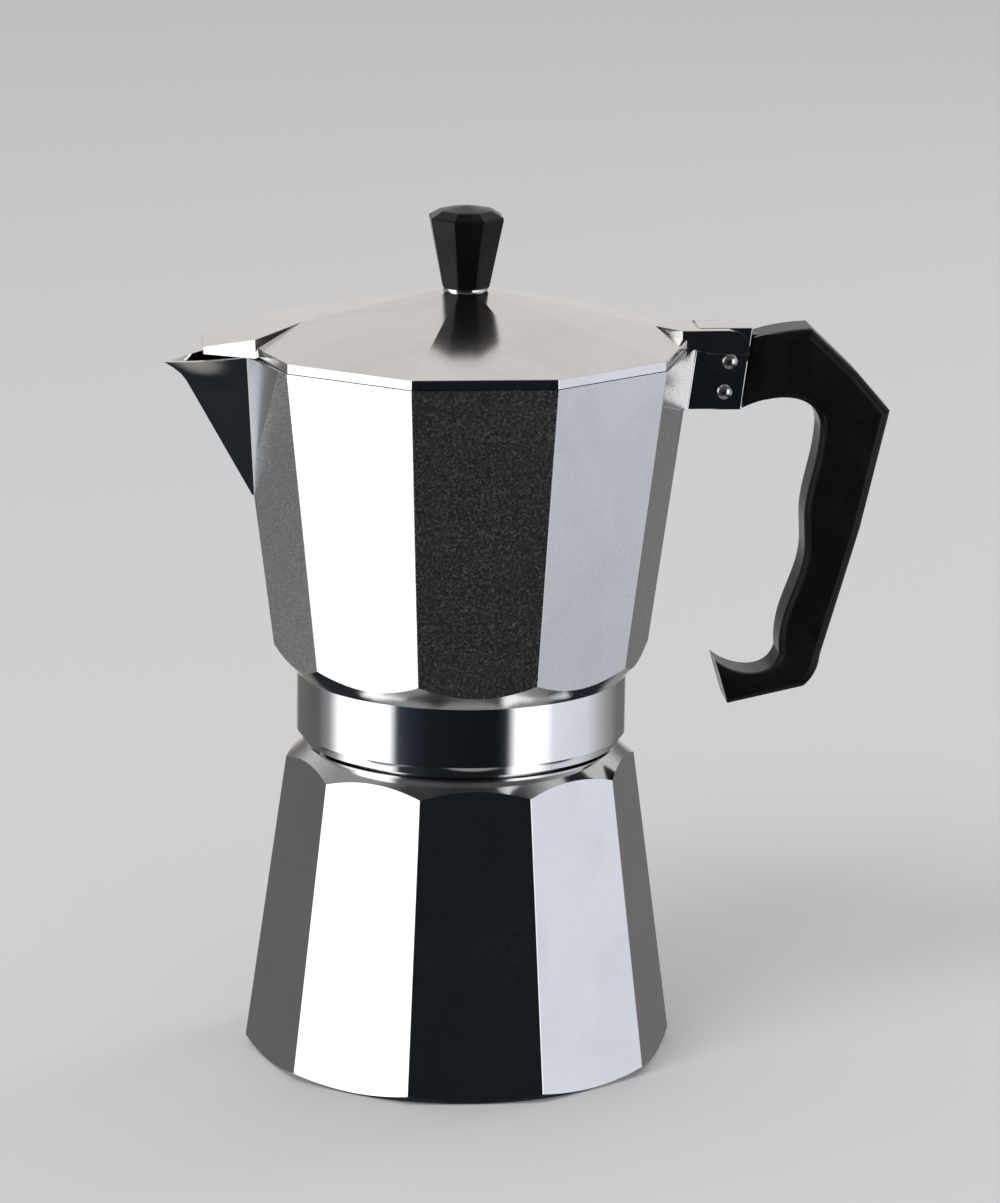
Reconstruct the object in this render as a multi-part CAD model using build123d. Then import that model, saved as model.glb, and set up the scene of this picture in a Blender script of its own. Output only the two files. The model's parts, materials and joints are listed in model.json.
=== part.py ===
from build123d import *
import math
import os

# Ten-sided stovetop moka pot, six-cup size. Millimetres, +Z up, origin on the pot's axis at floor level.
# +X points to the handle and -X to the spout. Both lie on a corner of the ten-sided walls.

# ---- Boiler -------------------------------------------------------------------------------------
sides = 10                  # facets round the boiler, collector and lid
foot_radius = 54.8          # over the corners, at the widest level
foot_rise = 2.4             # height of that level: below it the foot is turned to a cone
foot_face_radius = 51.5     # flat annulus that the pot stands on
shoulder_reach = 8.25       # corners beyond the neck's crests, where the turned shoulder starts
shoulder_level = 76.4
shoulder_slope = 0.85       # drop of the turned shoulder per millimetre outwards
shoulder_rise = 4.3         # from shoulder_level to the flat ledge
corner_round = 0.8          # radius of the facets' outer corners
hollow_round = 3.0          # radius of the inner corners
boiler_wall = 3.0
boiler_floor = 3.2
neck_radius = 36.4          # over the crests of the male thread
neck_wall = 3.1             # under the thread's root
neck_rise = 13.3            # ledge to the neck's top face

# ---- Screw joint between boiler and collector ---------------------------------------------------
thread_depth = 1.0
thread_pitch = 3.0
thread_turns = 3.0
thread_crest = 0.9          # width of the flat on a ridge
thread_root = 2.1           # width of a ridge where it leaves the wall
thread_gap = 0.3            # radial gap between the male and the female crests
thread_start = 2.2          # ledge to the middle of the first male turn
skirt_gap = 1.3             # open joint between the boiler's ledge and the skirt

# ---- Collector ----------------------------------------------------------------------------------
skirt_wall = 4.3            # outside the female thread's root
skirt_height = 17.5
skirt_edge = 1.6            # chamfer under the skirt, across
skirt_edge_rise = 2.5       # chamfer under the skirt, upwards
flare_reach = 5.8           # skirt to the facets' corners, at the foot of the facets
flare_rise = 6.7            # skirt's top to the foot of the facets
rim_radius = 58.0           # over the corners, at the rim
chamber_rise = 76.8         # foot of the facets to the rim
chamber_wall = 2.6
chamber_floor = 3.0
column_radius = 8.0         # at the chamber's floor
column_top_radius = 6.4
column_rise = 58.0
column_bore = 4.2           # radius
column_foot = 3.0           # cone round the column's foot
turning_margin = 6.0        # how far the turned outlines run outside the facets

# ---- Cap on the column --------------------------------------------------------------------------
cap_wall = 0.9
cap_rise = 4.0              # above the column's end
cap_roof = 1.6
cap_bevel = 2.0
cap_grip = 5.0              # length pushed over the column
cap_fit = 0.05
cap_window_half_width = 2.6
cap_window_edge = 0.4       # roof to window, and window to the column's end

# ---- Filter stack inside the screw joint --------------------------------------------------------
gasket_width = 8.1
gasket_thickness = 4.0
gasket_side_gap = 0.3       # gasket to the bore it sits in, on the radius
seat_gap = 0.1              # between faces that the thread pulls together
plate_inset = 4.1           # edge of the plate inside the gasket's edge
plate_play = 3 * seat_gap   # plate to the ceiling above it
plate_thickness = 0.8
plate_hole_radius = 0.6
plate_hole_pitch = 4.2

# ---- Funnel -------------------------------------------------------------------------------------
flange_inset = 1.8          # edge of the flange inside the neck's crests
flange_thickness = 1.0
basket_wall = 0.9
basket_depth = 26.0
basket_gap = 0.4            # basket to the neck's bore, on the radius
funnel_cone_rise = 11.0
tube_radius = 5.5
tube_wall = 0.6
tube_grip = 9.0             # length held in the funnel's spigot
tube_end_level = 8.0        # the tube's slanted mouth, above the floor
tube_mouth_angle = 25.0
cone_stretch = 1.15         # height of the sloping cone's wall, over its thickness
spigot_wall = 0.9
sieve_thickness = 0.6
sieve_gap = 0.15            # sieve to the basket's wall, on the radius
sieve_hole_radius = 0.7
sieve_hole_pitch = 4.6
sieve_margin = 1.5          # holes to the sieve's edge

# ---- Spout, cast on the collector ---------------------------------------------------------------
spout_half_width = 12.2     # at the rim, where its sides start
spout_proud = 1.5           # height of that line above the facet
spout_ridge_wall = 1.3      # metal along the ridge, over the metal of its sides
spout_drop = 39.0           # rim to the ridge's lower end
spout_slope = 0.427         # reach of the straight ridge per millimetre of height
spout_curl_drop = 8.5       # rim to where the ridge starts to curl outwards
spout_curl = 3.5            # outward curl at the lip
spout_lip_drop = 3.3
spout_fall = 0.167          # drop of the spout's open rim per millimetre outwards
spout_trim_start = 5.0      # start of that fall inside the pot's corner
spout_mouth_drop = 28.0     # rim to the lower end of the channel inside
spout_bulge = 1.3           # how far the sides belly out from a straight line, at the rim
spout_root = 0.923          # how far its solid reaches into the wall, past the ends of its flanks
spout_wall = 1.8

# ---- Handle lug, cast on the collector ----------------------------------------------------------
lug_half_width = 5.0
lug_wall = 2.0              # each side of its slot
lug_rise = 5.0              # top face above the rim
lug_top_wall = 2.0
lug_top_reach = 14.1        # end of the top face beyond the pot's corner
lug_foot_reach = 11.5       # end of the lower edge beyond the pot's corner
lug_foot_drop = 16.0        # rim to the lower edge
lug_slot_start = 2.4        # bottom of the slot beyond the pot's corner
lug_root_depth = 6.0        # start of the lug inside the pot's corner
lug_flare_drop = 8.0        # rim to the flare's lower edge, at the facets' far corners
hinge_reach = 8.2           # lid hinge axis beyond the pot's corner
hinge_drop = 3.2            # lid hinge axis below the rim
lug_sweep_radius = 11.0     # lug's top corner, round the hinge axis
grip_pin_reach = 7.3        # handle pin beyond the pot's corner
grip_pin_drop = 11.4
pin_radius = 1.5
pin_gap = 0.05              # running clearance, on the radius
rivet_head_radius = 1.9
rivet_head_height = 0.9     # of the dome

# ---- Lid ----------------------------------------------------------------------------------------
lid_gap = 0.15              # rim to the lid
lid_inset = 0.3             # corner of the lid inside the corner of the rim
lid_band = 2.35             # height of the straight edge band
lid_slope = 0.2305          # rise of the corner ridges per millimetre
lid_corner_round = 0.6
lid_wall = 1.6
lip_gap = 0.9               # lid's lip to the chamber's wall
lip_wall = 1.4
lip_drop = 1.8              # below the rim
lip_bury = 0.5              # root of the lip inside the lid's edge
lip_spout_gap = 2.0         # lip's open stretch beyond each side of the beak cover
boss_radius = 5.6           # flat seat of the knob
boss_cut = 0.8              # height taken off the point of the pyramid
boss_depth = 3.2
beak_root_half_width = 13.6
beak_flare_half_width = 17.0
beak_tip_half_width = 7.4
beak_start = 17.0           # point of the beak cover inside the pot's corner
beak_root = 4.5             # its widest line inside the pot's corner
beak_reach = 8.0            # its open end beyond the pot's corner
beak_rise = 1.0             # stands above the pyramid at its widest line
beak_tip_gap = 0.3          # beak cover to the spout's rim
beak_tip_fall = 0.7         # its lower edge at the open end, below the lid's
beak_point_half_width = 1.2
beak_point_depth = 3.0      # height of the point's section above the lower edge
point_dip = 0.05            # sinks the points of the beak cover and tongue into the lid
ear_gap = 0.25              # ear to the lug's side
ear_thickness = 2.75        # of the strip along the ear's top
lobe_thickness = 1.8        # of the round end below the strip
strip_start = 0.5           # where the strip drops past the rim, beyond the pot's corner
strip_drop = 0.9            # its lower edge there, below the rim
strip_fall = 0.35           # further drop of that edge at the hinge axis
ear_radius = 5.5
ear_centre_drop = 0.7       # centre of the ear's round end below the rim
ear_centre_reach = 7.7
tongue_start = 10.0         # point of the tongue inside the pot's corner
tongue_point_half_width = 1.2
tongue_root = 4.0           # full width from here on, inside the pot's corner
tongue_web = 1.3            # solid end of the tongue, beyond the pot's corner
tongue_rise = 4.9           # its flat top above the rim
sweep_gap = 0.3             # between the lug's round corner and the lid

# ---- Knob ---------------------------------------------------------------------------------------
knob_sides = 8
knob_foot_flats = 11.5      # across flats
knob_top_flats = 18.4
knob_rise = 17.8            # straight taper
knob_crown_flats = 12.5
knob_crown_rise = 1.8
knob_peak_rise = 1.0
knob_peak_flats = 1.6
insert_wall = 1.2
insert_length = 10.0
screw_radius = 2.0
screw_clearance = 0.15
screw_thread_gap = 0.03     # screw to the insert's bore
screw_bite = 8.0
screw_head_rim = 1.6        # head beyond the shank
screw_head_height = 2.4
screw_slot_width = 1.0
screw_slot_depth = 0.9
washer_rim = 2.8            # washer beyond the screw's shank
washer_thickness = 0.8

# ---- Handle -------------------------------------------------------------------------------------
handle_half_width = 7.5
handle_root_inset = 0.1     # side of the narrow root inside the lug's side
handle_edge = 2.6           # rounding of the long edges
handle_neck = 3.0           # narrow root past the lug's end
handle_taper = 7.0          # length over which it widens
handle_taper_drop = 40.0    # rim to the level where the narrow root ends
tang_drop = 14.0            # rim to the tang's lower edge
tang_root = 4.0             # tang's end inside the grip, past the lug's end
tang_gap = 0.2              # tang to each side of the lug's slot
lug_end_gap = 0.4           # handle's shoulder to the end of the lug

# ---- Safety valve -------------------------------------------------------------------------------
valve_level = 58.0
valve_shank_radius = 4.4
valve_fit_gap = 0.05
valve_washer_rim = 2.6      # washer beyond the shank
valve_washer_thickness = 0.8
valve_hex_wall = 1.6        # flats beyond the shank, on the hexagon and on the nut
valve_hex_height = 3.6
valve_collar_rim = 0.2
valve_collar_height = 2.2
valve_inner_length = 4.6    # shank inside the boiler's wall
valve_nut_height = 2.6
valve_wall = 1.4
valve_drill_depth = 15.6    # length of the drill that opens the boiler's wall for it
valve_seat_thickness = 1.4
valve_seat_bore = 1.5
poppet_gap = 0.4            # poppet to the valve's bore
poppet_thickness = 1.2
poppet_seat_gap = 0.05
stem_radius = 1.1
stem_proud = 2.4
spring_gap = 0.65           # coil to the valve's bore
spring_wire = 0.35
spring_pitch = 1.5
retainer_thickness = 1.0
retainer_gap = 0.05
valve_travel = 1.5

# ---- Levels and radii that follow ---------------------------------------------------------------
corner_angle = 360 / sides
flat_ratio = math.cos(math.radians(corner_angle / 2))
ledge_level = shoulder_level + shoulder_rise
neck_top = ledge_level + neck_rise
shoulder_radius = neck_radius + shoulder_reach
neck_bore = neck_radius - thread_depth - neck_wall
skirt_bore = neck_radius + thread_gap + thread_depth
skirt_radius = skirt_bore + skirt_wall
chamber_radius = skirt_radius + flare_reach
skirt_bottom = ledge_level + skirt_gap
skirt_top = skirt_bottom + skirt_height
chamber_level = skirt_top + flare_rise
rim_level = chamber_level + chamber_rise
flange_bottom = neck_top + seat_gap
gasket_bottom = flange_bottom + flange_thickness + seat_gap
gasket_top = gasket_bottom + gasket_thickness
gasket_radius = neck_radius + thread_gap - 2 * gasket_side_gap
gasket_bore = gasket_radius - gasket_width
plate_radius = gasket_radius - plate_inset
plate_rings = int((gasket_bore - plate_hole_radius) / plate_hole_pitch)
flange_radius = neck_radius - flange_inset
plate_top = gasket_top + plate_thickness
filter_ceiling = plate_top + plate_play
floor_level = filter_ceiling + chamber_floor
basket_radius = neck_bore - basket_gap
basket_bottom = flange_bottom - basket_depth
basket_bore = basket_radius - basket_wall
cone_wall = cone_stretch * basket_wall
sieve_radius = basket_bore - sieve_gap
sieve_rings = int((sieve_radius - sieve_margin - sieve_hole_radius) / sieve_hole_pitch)
cone_bottom = basket_bottom - funnel_cone_rise
spigot_radius = tube_radius + spigot_wall
lid_bottom = rim_level + lid_gap
lid_radius = rim_radius - lid_inset
band_top = lid_bottom + lid_band
apex_level = band_top + lid_slope * lid_radius
knob_level = apex_level - boss_cut
hinge_x = rim_radius + hinge_reach
hinge_z = rim_level - hinge_drop
spout_depth = rim_radius * (1 - math.cos(math.radians(corner_angle))) + spout_root
lug_slot_half_width = lug_half_width - lug_wall
handle_root_half_width = lug_half_width - handle_root_inset
grip_pin_x = rim_radius + grip_pin_reach
grip_pin_z = rim_level - grip_pin_drop
ear_inner = lug_half_width + ear_gap
ear_outer = ear_inner + ear_thickness
lobe_outer = ear_inner + lobe_thickness
insert_radius = screw_radius + insert_wall
screw_head_radius = screw_radius + screw_head_rim
washer_radius = screw_radius + washer_rim
valve_hex_flats = 2 * (valve_shank_radius + valve_hex_wall)
valve_collar_radius = valve_shank_radius + valve_collar_rim
valve_washer_radius = valve_shank_radius + valve_washer_rim
valve_bore = valve_shank_radius - valve_wall
poppet_radius = valve_bore - poppet_gap
spring_radius = valve_bore - spring_gap - spring_wire
valve_collar_bottom = valve_washer_thickness + valve_hex_height
valve_top = valve_collar_bottom + valve_collar_height
valve_inner_end = -boiler_wall - valve_inner_length
valve_seat_level = valve_inner_end + valve_seat_thickness
poppet_bottom = valve_seat_level + poppet_seat_gap
spring_bottom = poppet_bottom + poppet_thickness + spring_wire
retainer_bottom = valve_top - retainer_thickness
big = 4 * rim_radius


def corner_radius(level, low, low_level, high, high_level):
    """Radius over the corners of a ten-sided wall at a level, from its two ends."""
    return low + (high - low) * (level - low_level) / (high_level - low_level)


def boiler_radius(level):
    return corner_radius(level, foot_radius, foot_rise, shoulder_radius, shoulder_level)


def chamber_wall_radius(level):
    return corner_radius(level, chamber_radius, chamber_level, rim_radius, rim_level)


def ring_points(radius, count, turn=0.0):
    """Corners of a regular polygon, the first one at the angle turn."""
    angles = [math.radians(turn + 360 * i / count) for i in range(count)]
    return [(radius * math.cos(a), radius * math.sin(a)) for a in angles]


def polygon_face(radius, level, count=sides, turn=0.0, rounding=0.0):
    face = make_face(Polyline(*ring_points(radius, count, turn), close=True)).face()
    if rounding:
        face = face.fillet_2d(rounding, face.vertices())
    return Pos(0, 0, level) * face


def frustum(low, low_level, high, high_level, count=sides, turn=0.0, rounding=0.0):
    """Straight-sided solid between two regular polygons, with its upright corners rounded."""
    ends = ((low, low_level), (high, high_level))
    return loft([polygon_face(r, z, count, turn, rounding) for r, z in ends], ruled=True)


def turned(points):
    """Solid of revolution about the pot's axis from (radius, level) points."""
    face = make_face(Polyline(*[(r, 0, z) for r, z in points], close=True))
    return revolve(face, Axis.Z)


def disc(radius, bottom, top):
    return Pos(0, 0, (bottom + top) / 2) * Cylinder(radius, top - bottom)


def ring(outer, inner, bottom, top):
    return disc(outer, bottom, top) - disc(inner, bottom - 1, top + 1)


def side_plate(points, half_width):
    """Flat plate in the pot's symmetry plane, from (x, z) points, with equal halves in Y."""
    face = make_face(Polyline(*[(x, 0, z) for x, z in points], close=True))
    return extrude(face, half_width, dir=(0, 1, 0), both=True)


def cross_pin(x, z, radius, half_length):
    """Cylinder along Y."""
    return Pos(x, 0, z) * Rot(90, 0, 0) * Cylinder(radius, 2 * half_length)


def thread_ridge(wall_radius, outward, bottom):
    """Helical ridge on a wall. outward is +1 for a male thread and -1 for a female one."""
    height = thread_pitch * thread_turns
    path = Pos(0, 0, bottom) * Helix(thread_pitch, height, wall_radius)
    bury = 0.25 * outward
    section = Polyline(
        (wall_radius - bury, 0, bottom - thread_root / 2),
        (wall_radius + outward * thread_depth, 0, bottom - thread_crest / 2),
        (wall_radius + outward * thread_depth, 0, bottom + thread_crest / 2),
        (wall_radius - bury, 0, bottom + thread_root / 2),
        close=True,
    )
    return sweep(make_face(section), path=path, is_frenet=True)


def hole_pattern(pitch, rings):
    """Points of a round pattern of holes: one in the middle and six more in each ring."""
    points = [(0.0, 0.0)]
    for n in range(1, rings + 1):
        points += ring_points(pitch * n, 6 * n)
    return points


def perforated(radius, bottom, top, hole_radius, pitch, rings):
    outline = make_face(Circle(radius).edge())
    holes = [Pos(x, y) * Circle(hole_radius) for x, y in hole_pattern(pitch, rings)]
    return Pos(0, 0, bottom) * extrude(outline - holes, top - bottom)


def write(shape, node):
    export_step(shape, f"parts/{node}.step")


# ---- Boiler and its safety valve ----------------------------------------------------------------
def valve_place():
    """Frame of the valve: origin on the outside of the rear facet, +Z along the facet's normal."""
    slope = (foot_radius - shoulder_radius) * flat_ratio / (shoulder_level - foot_rise)
    tilt = math.degrees(math.atan(slope))
    return Pos(0, boiler_radius(valve_level) * flat_ratio, valve_level) * Rot(tilt - 90, 0, 0)


def make_boiler():
    top = ledge_level + 1
    facets = frustum(boiler_radius(-1), -1, boiler_radius(top), top, rounding=corner_round)
    foot_slope = foot_rise / (foot_radius - foot_face_radius)
    wide = foot_radius + turning_margin
    shoulder_wide = shoulder_level - shoulder_slope * (wide - shoulder_radius)
    ledge_radius = shoulder_radius - shoulder_rise / shoulder_slope
    turning = turned([
        (0, 0), (foot_face_radius, 0), (wide, foot_slope * (wide - foot_face_radius)),
        (wide, shoulder_wide), (ledge_radius, ledge_level), (0, ledge_level),
    ])
    neck = disc(neck_radius - thread_depth, ledge_level - 1, neck_top)
    body = (facets & turning) + neck
    body += thread_ridge(neck_radius - thread_depth, 1, ledge_level + thread_start)

    inset = boiler_wall / flat_ratio
    hollow = frustum(boiler_radius(0) - inset, 0, boiler_radius(top) - inset, top, rounding=hollow_round)
    inner_ledge = ledge_level - boiler_wall
    corner = ledge_radius - boiler_wall / 2
    hollow &= turned([
        (0, boiler_floor), (wide, boiler_floor), (wide, inner_ledge - shoulder_slope * (wide - corner)),
        (corner, inner_ledge), (0, inner_ledge),
    ])
    body -= hollow
    body -= disc(neck_bore, inner_ledge - 1, neck_top + 1)
    body -= valve_place() * Cylinder(valve_shank_radius + valve_fit_gap, valve_drill_depth)
    return body


def hexagon(flats, bottom, top):
    radius = flats / 2 / math.cos(math.radians(30))
    return Pos(0, 0, bottom) * extrude(make_face(Polyline(*ring_points(radius, 6), close=True)), top - bottom)


def make_valve_body():
    body = disc(valve_shank_radius, valve_inner_end, valve_washer_thickness)
    body += hexagon(valve_hex_flats, valve_washer_thickness, valve_collar_bottom)
    body += disc(valve_collar_radius, valve_collar_bottom, valve_top)
    body -= disc(valve_bore, valve_seat_level, valve_top + 1)
    body -= disc(valve_seat_bore, valve_inner_end - 1, valve_seat_level + 1)
    return valve_place() * body


def make_valve_washer():
    bore = valve_shank_radius + valve_fit_gap
    return valve_place() * ring(valve_washer_radius, bore, 0, valve_washer_thickness)


def make_valve_nut():
    top = -boiler_wall - seat_gap
    nut = hexagon(valve_hex_flats, top - valve_nut_height, top)
    return valve_place() * (nut - disc(valve_shank_radius + valve_fit_gap, top - big, top + big))


def make_valve_poppet():
    top = valve_top + stem_proud
    poppet = disc(poppet_radius, poppet_bottom, poppet_bottom + poppet_thickness)
    poppet += disc(stem_radius, poppet_bottom, top)
    poppet += Pos(0, 0, top) * Sphere(stem_radius)
    return valve_place() * poppet


def make_valve_spring():
    height = retainer_bottom - spring_wire - spring_bottom
    path = Helix(spring_pitch, height, spring_radius)
    section = Plane(path @ 0, z_dir=path % 0) * Circle(spring_wire)
    coil = sweep(section, path=path, is_frenet=True)
    return valve_place() * Pos(0, 0, spring_bottom) * coil


def make_valve_retainer():
    bore = stem_radius + pin_gap
    return valve_place() * ring(valve_bore - retainer_gap, bore, retainer_bottom, valve_top)


# ---- Funnel -------------------------------------------------------------------------------------
def make_funnel_basket():
    """Thin turned cup with a flange on top, a cone below and a spigot that holds the tube."""
    top = flange_bottom + flange_thickness
    spigot_end = cone_bottom - tube_grip
    return turned([
        (basket_bore, top), (flange_radius, top), (flange_radius, flange_bottom),
        (basket_radius, flange_bottom), (basket_radius, basket_bottom),
        (spigot_radius, cone_bottom), (spigot_radius, spigot_end), (tube_radius, spigot_end),
        (tube_radius, cone_bottom + cone_wall), (basket_bore, basket_bottom + cone_wall),
    ])


def make_funnel_tube():
    """Tube held in the spigot, with a slanted mouth near the boiler's floor."""
    top = cone_bottom
    tube = ring(tube_radius, tube_radius - tube_wall, tube_end_level, top)
    mouth = Rot(0, tube_mouth_angle, 0) * Box(big, big, 2 * tube_radius)
    mouth = Pos(0, 0, tube_end_level - tube_radius) * mouth
    return tube - mouth


def make_funnel_sieve():
    bottom = basket_bottom + cone_wall + seat_gap
    top = bottom + sieve_thickness
    return perforated(sieve_radius, bottom, top, sieve_hole_radius, sieve_hole_pitch, sieve_rings)


# ---- Filter stack -------------------------------------------------------------------------------
def make_gasket():
    return ring(gasket_radius, gasket_bore, gasket_bottom, gasket_top)


def make_filter_plate():
    return perforated(plate_radius, gasket_top, plate_top, plate_hole_radius, plate_hole_pitch, plate_rings)


# ---- Collector ----------------------------------------------------------------------------------
def spout_reach(drop):
    """Ridge of the spout beyond the pot's corner: a straight line that curls outwards to the lip."""
    curled = max(0.0, (spout_curl_drop - drop) / (spout_curl_drop - spout_lip_drop))
    return spout_slope * (spout_drop - drop) + spout_curl * curled**2


def spout_section(drop, shrink):
    """Level outline of the spout: two flanks from the facets' corners, and two bowed sides to the ridge."""
    level = rim_level - drop
    share = 1 - drop / spout_drop
    half = spout_half_width * share - shrink
    corner = chamber_wall_radius(level)
    lean = math.tan(math.radians(corner_angle / 2))
    ridge = -(corner + spout_reach(drop)) + spout_ridge_wall * shrink
    root = -corner + (half + shrink) * lean - spout_proud * share
    inside = -corner + spout_depth
    flank = corner * math.sin(math.radians(corner_angle)) * share
    flank_x = -corner + flank * lean
    middle = ((root + ridge) / 2, half / 2 + spout_bulge * share)
    upper = ThreePointArc((root, half), middle, (ridge, 0))
    lower = ThreePointArc((ridge, 0), (middle[0], -middle[1]), (root, -half))
    back = [(root, -half), (inside, -half), (inside, half), (root, half)]
    if not shrink:
        back[1:3] = [(flank_x, -flank), (inside, -flank), (inside, flank), (flank_x, flank)]
    return Pos(0, 0, level) * make_face([upper, lower, Polyline(*back)])


def spout_solid(shrink, lowest):
    """Stack of ruled lofts, close together where the lip curls."""
    curl_step = spout_curl_drop / 5
    drops = [lowest] + [spout_curl_drop - i * curl_step for i in range(6)]
    drops.append(-lid_gap)
    sections = [spout_section(d, shrink) for d in drops]
    pairs = zip(sections, sections[1:])
    return Part() + [loft([low, high], ruled=True) for low, high in pairs]


def spout_trim():
    """Everything above the spout's open rim, which falls from the pot's rim to the lip."""
    start, end = -rim_radius + spout_trim_start, -2 * rim_radius
    return side_plate([
        (0, rim_level), (start, rim_level), (end, rim_level - spout_fall * (start - end)),
        (end, rim_level + big), (0, rim_level + big),
    ], big)


def flare_section(level):
    """Level outline of the lug's root: from the facets' far corners to the sides of the lug."""
    corner = chamber_wall_radius(level)
    x, y = ring_points(corner, sides)[1]
    return Pos(0, 0, level) * make_face(Polyline(
        (x, -y), (corner, -lug_half_width), (corner, lug_half_width), (x, y), close=True,
    ))


def lug_flare(foot):
    """Raised facets either side of the lug, cut off below along a line that falls towards the lug."""
    flare = loft([flare_section(foot), flare_section(rim_level)], ruled=True)
    x, y = ring_points(rim_radius, sides)[1]
    for side in (-1, 1):
        cut = make_face(Polyline(
            (0, side * lug_half_width, foot), (0, side * 2 * y, foot - 1),
            (0, side * 2 * y, 2 * (rim_level - lug_flare_drop) - foot), close=True,
        ))
        flare -= extrude(cut, big, dir=(1, 0, 0))
    return flare


def make_lug():
    """Box on the corner under the hinge, with a slot for the handle's tang."""
    end_slope = (lug_top_reach - lug_foot_reach) / (lug_rise + lug_foot_drop)
    top, foot = rim_level + lug_rise, rim_level - lug_foot_drop
    start = rim_radius - lug_root_depth
    box = side_plate([
        (start, foot), (rim_radius + lug_foot_reach, foot),
        (rim_radius + lug_top_reach, top), (start, top),
    ], lug_half_width)
    sweep_round = cross_pin(hinge_x, hinge_z, lug_sweep_radius, big)
    lower = Pos(start, 0, rim_level - big / 2) * Box(big, big, big)
    box &= sweep_round + lower
    box += lug_flare(foot)
    slot = side_plate([
        (rim_radius + lug_slot_start, foot - big), (big, foot - big),
        (big, top - lug_top_wall), (rim_radius + lug_slot_start, top - lug_top_wall),
    ], lug_slot_half_width)
    return box - slot


def make_collector():
    foot = chamber_wall_radius(skirt_bottom)
    facets = frustum(foot, skirt_bottom, rim_radius, rim_level, rounding=corner_round)
    wide = rim_radius + turning_margin
    flare_slope = flare_rise / (chamber_radius - skirt_radius)
    turning = turned([
        (0, skirt_bottom), (skirt_radius - skirt_edge, skirt_bottom),
        (skirt_radius, skirt_bottom + skirt_edge_rise), (skirt_radius, skirt_top),
        (wide, skirt_top + flare_slope * (wide - skirt_radius)), (wide, rim_level), (0, rim_level),
    ])
    body = facets & turning
    body += spout_solid(0, spout_drop - 1) - spout_trim()
    body += make_lug()

    inset = chamber_wall / flat_ratio
    low, high = floor_level - 1, rim_level + 5
    hollow = frustum(
        chamber_wall_radius(low) - inset, low, chamber_wall_radius(high) - inset, high, rounding=hollow_round
    )
    flat = skirt_radius - chamber_wall / 2
    hollow &= turned([
        (0, floor_level), (flat, floor_level),
        (wide, floor_level + flare_slope * (wide - flat)), (wide, high), (0, high),
    ])
    hollow += spout_solid(spout_wall, spout_mouth_drop)
    body -= hollow

    body += turned([
        (0, floor_level - 1), (column_radius + column_foot, floor_level - 1),
        (column_radius + column_foot, floor_level), (column_radius, floor_level + column_foot),
        (column_top_radius, floor_level + column_rise),
        (0, floor_level + column_rise),
    ])
    seat_radius = gasket_radius + gasket_side_gap
    body -= disc(skirt_bore, skirt_bottom - 1, gasket_bottom)
    body -= disc(seat_radius, gasket_bottom - 1, gasket_top + seat_gap)
    body -= turned([
        (0, gasket_top), (plate_radius + gasket_side_gap, gasket_top),
        (plate_radius + gasket_side_gap, filter_ceiling), (gasket_bore, filter_ceiling),
        (column_bore, filter_ceiling + chamber_floor / 2), (0, filter_ceiling + chamber_floor / 2),
    ])
    body -= disc(column_bore, filter_ceiling, floor_level + column_rise + 1)
    body += thread_ridge(skirt_bore, -1, ledge_level + thread_start + thread_pitch / 2)
    for x, z in ((hinge_x, hinge_z), (grip_pin_x, grip_pin_z)):
        body -= cross_pin(x, z, pin_radius + pin_gap, lug_half_width + 1)
    return body


def make_column_cap():
    """Cap pushed over the column's end, with two side windows that turn the coffee outwards."""
    seat = floor_level + column_rise
    bore = column_top_radius + cap_grip * (column_radius - column_top_radius) / column_rise + cap_fit
    outer = bore + cap_wall
    ceiling, top = seat + cap_rise, seat + cap_rise + cap_roof
    cap = turned([
        (bore, seat - cap_grip), (outer, seat - cap_grip), (outer, ceiling), (outer - cap_bevel, top),
        (0, top), (0, ceiling), (bore, ceiling),
    ])
    window = Box(4 * outer, 2 * cap_window_half_width, cap_rise - 2 * cap_window_edge)
    return cap - Pos(0, 0, seat + cap_rise / 2) * window


# ---- Lid ----------------------------------------------------------------------------------------
def pyramid_level(radius):
    """Level of the lid's corner ridge at a radius."""
    return apex_level - lid_slope * radius


def trapezoid(x, bottom, bottom_half, top, top_half):
    """Upright section across X, for lofts along the lid's ridges."""
    points = [(x, -bottom_half, bottom), (x, bottom_half, bottom), (x, top_half, top), (x, -top_half, top)]
    return make_face(Polyline(*points, close=True))


def make_beak(shrink):
    """Roof over the spout, from a point on the lid's ridge to the open end."""
    start, root, tip = -rim_radius + beak_start, -rim_radius + beak_root, -rim_radius - beak_reach
    root_top = pyramid_level(-root) + beak_rise - shrink
    tip_top = root_top - lid_slope * (root - tip)
    start_top = pyramid_level(-start) - point_dip - shrink
    root_bottom = lid_bottom + beak_tip_gap - shrink
    tip_bottom = root_bottom - beak_tip_fall
    point_half = beak_point_half_width
    flare_half, root_half = beak_flare_half_width - shrink, beak_root_half_width - shrink
    tip_half = beak_tip_half_width - shrink
    sections = [
        trapezoid(start, root_bottom + beak_point_depth, point_half, start_top, point_half / 3),
        trapezoid(root, root_bottom, flare_half, root_top, root_half),
        trapezoid(tip - shrink, tip_bottom, tip_half, tip_top, tip_half),
    ]
    return loft(sections[:2], ruled=True) + loft(sections[1:], ruled=True)


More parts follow.
